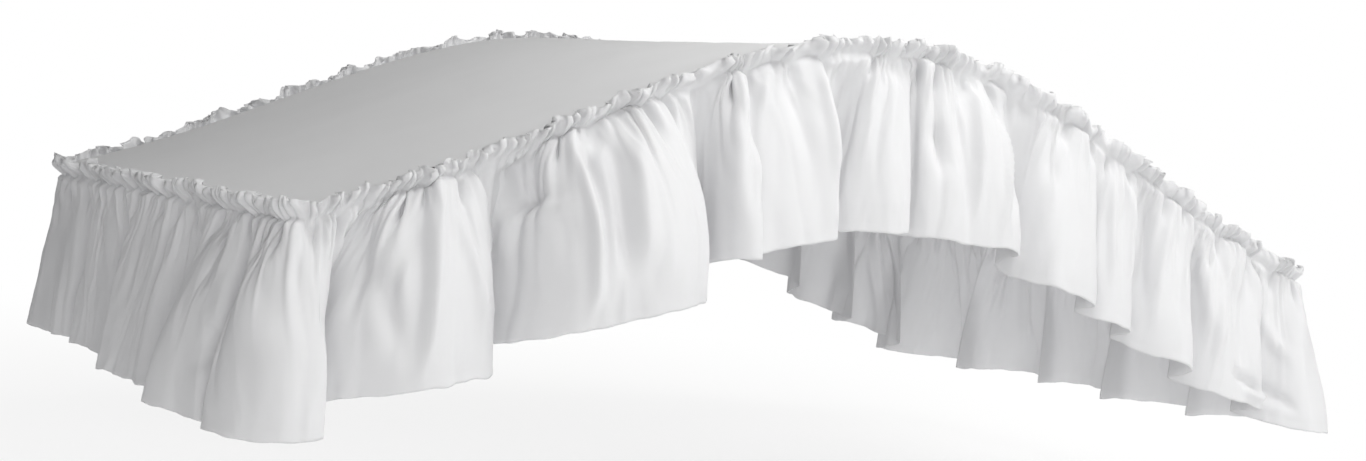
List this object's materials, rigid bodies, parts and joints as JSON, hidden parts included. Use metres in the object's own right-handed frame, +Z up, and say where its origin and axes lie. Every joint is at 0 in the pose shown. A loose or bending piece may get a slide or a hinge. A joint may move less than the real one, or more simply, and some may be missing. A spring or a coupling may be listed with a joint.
{
  "type": "ruffled bed canopy cover",
  "caption": "Arched cotton canopy cover for a bed: a smooth deck panel over the arch, with a deep gathered ruffle and frilled heading all round.",
  "frame": {"origin": "underside of the deck panel, in the middle of the arch's crest, where the canopy frame holds it up", "axes": "+X along the bed's length, +Y across the bed towards the back side, +Z up"},
  "size_m": [2.2175, 1.2853, 0.6349],
  "materials": {
    "deck_cotton": "plain woven white cotton, smooth and taut, matt",
    "ruffle_cotton": "plain woven white cotton, gathered, slightly sheer, matt"
  },
  "bodies": {
    "root": {"deck": "deck_cotton", "ruffle_front": "ruffle_cotton", "ruffle_right": "ruffle_cotton", "ruffle_back": "ruffle_cotton", "ruffle_left": "ruffle_cotton"}
  },
  "joints": []
}
